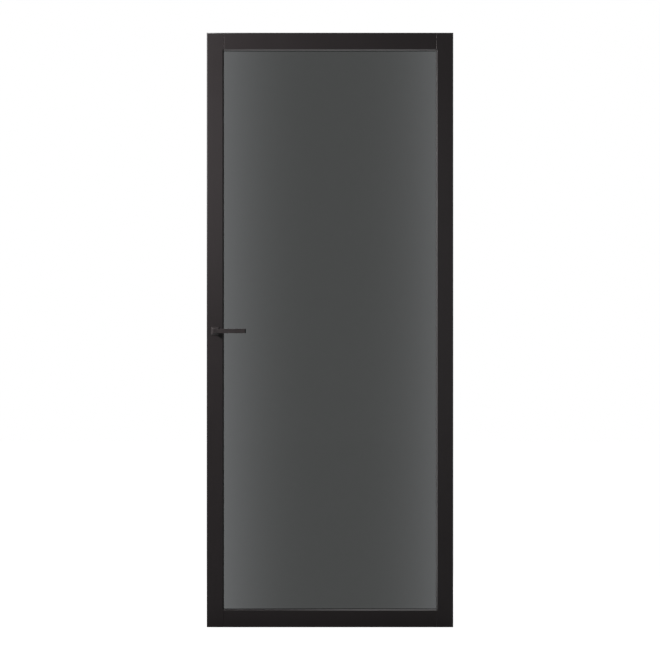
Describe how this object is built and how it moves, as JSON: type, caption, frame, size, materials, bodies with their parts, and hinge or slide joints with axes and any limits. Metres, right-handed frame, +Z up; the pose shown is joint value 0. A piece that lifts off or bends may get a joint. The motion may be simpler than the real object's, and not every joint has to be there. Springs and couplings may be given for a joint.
{
  "type": "glass door",
  "caption": "Hinged interior door leaf: slim satin black timber stiles and rails around a smoked glass pane, with straight square levers, magnetic latch lock and butt hinges.",
  "frame": {"origin": "middle of the leaf's underside, at mid thickness", "axes": "+Z up, +X from the lock edge to the hinge edge, +Y from the front face to the rear face, towards which the leaf opens"},
  "size_m": [0.8773, 0.132, 2.115],
  "materials": {
    "black_lacquer": "satin warm black lacquer",
    "smoked_glass": "smoked float glass",
    "lever_black": "fine satin black powder coat",
    "lock_black": "satin black",
    "hinge_steel": "satin stainless",
    "seal_rubber": "matt",
    "nylon": "matt black nylon",
    "dowel_beech": "raw beech",
    "steel": "zinc plated",
    "magnet_nickel": "nickel plated"
  },
  "bodies": {
    "hinge_frame_side": {"upper_frame_wing": "hinge_steel", "upper_hinge_pin": "hinge_steel", "upper_hinge_washers": "nylon", "middle_frame_wing": "hinge_steel", "middle_hinge_pin": "hinge_steel", "middle_hinge_washers": "nylon", "lower_frame_wing": "hinge_steel", "lower_hinge_pin": "hinge_steel", "lower_hinge_washers": "nylon"},
    "leaf": {"bead_brads": "steel", "bottom_bead": "black_lacquer", "bottom_rail": "black_lacquer", "corner_dowels": "dowel_beech", "faceplate_screws": "lock_black", "front_glazing_seal": "seal_rubber", "front_lever_bush": "nylon", "front_rose_base": "steel", "front_rose_cap": "lever_black", "glass_pane": "smoked_glass", "hinge_screws": "hinge_steel", "hinge_side_bead": "black_lacquer", "hinge_stile": "black_lacquer", "latch_return_spring": "steel", "lever_return_spring": "steel", "location_blocks": "nylon", "lock_case": "steel", "lock_cover": "steel", "lock_cover_screws": "steel", "lock_faceplate": "lock_black", "lock_side_bead": "black_lacquer", "lock_stile": "black_lacquer", "lower_leaf_wing": "hinge_steel", "middle_leaf_wing": "hinge_steel", "rear_glazing_seal": "seal_rubber", "rear_lever_bush": "nylon", "rear_rose_base": "steel", "rear_rose_cap": "lever_black", "rose_screws": "steel", "setting_blocks": "nylon", "top_bead": "black_lacquer", "top_rail": "black_lacquer", "upper_leaf_wing": "hinge_steel"},
    "handle": {"front_lever": "lever_black", "rear_lever": "lever_black", "spindle": "steel", "follower": "steel", "lever_grub_screws": "steel"},
    "latch": {"latch_bolt": "steel", "latch_magnet": "magnet_nickel"}
  },
  "joints": [
    {"name": "leaf_swing", "type": "hinge", "parent": "hinge_frame_side", "child": "leaf", "pos_m": [0.434, 0.0254, 1.0575], "axis": [0, 0, -1], "range_deg": [0, 180]},
    {"name": "lever_turn", "type": "hinge", "parent": "leaf", "child": "handle", "pos_m": [-0.409, 0, 1.054], "axis": [0, 1, 0], "range_deg": [0, 40], "stiffness_Nm_per_rad": 1.5, "springref_deg": -22.92, "deforming": ["lever_return_spring"]},
    {"name": "latch_slide", "type": "slide", "parent": "leaf", "child": "latch", "axis": [-1, 0, 0], "range_m": [0, 0.011], "stiffness_N_per_m": 60, "springref_m": -0.01, "deforming": ["latch_return_spring"]}
  ]
}
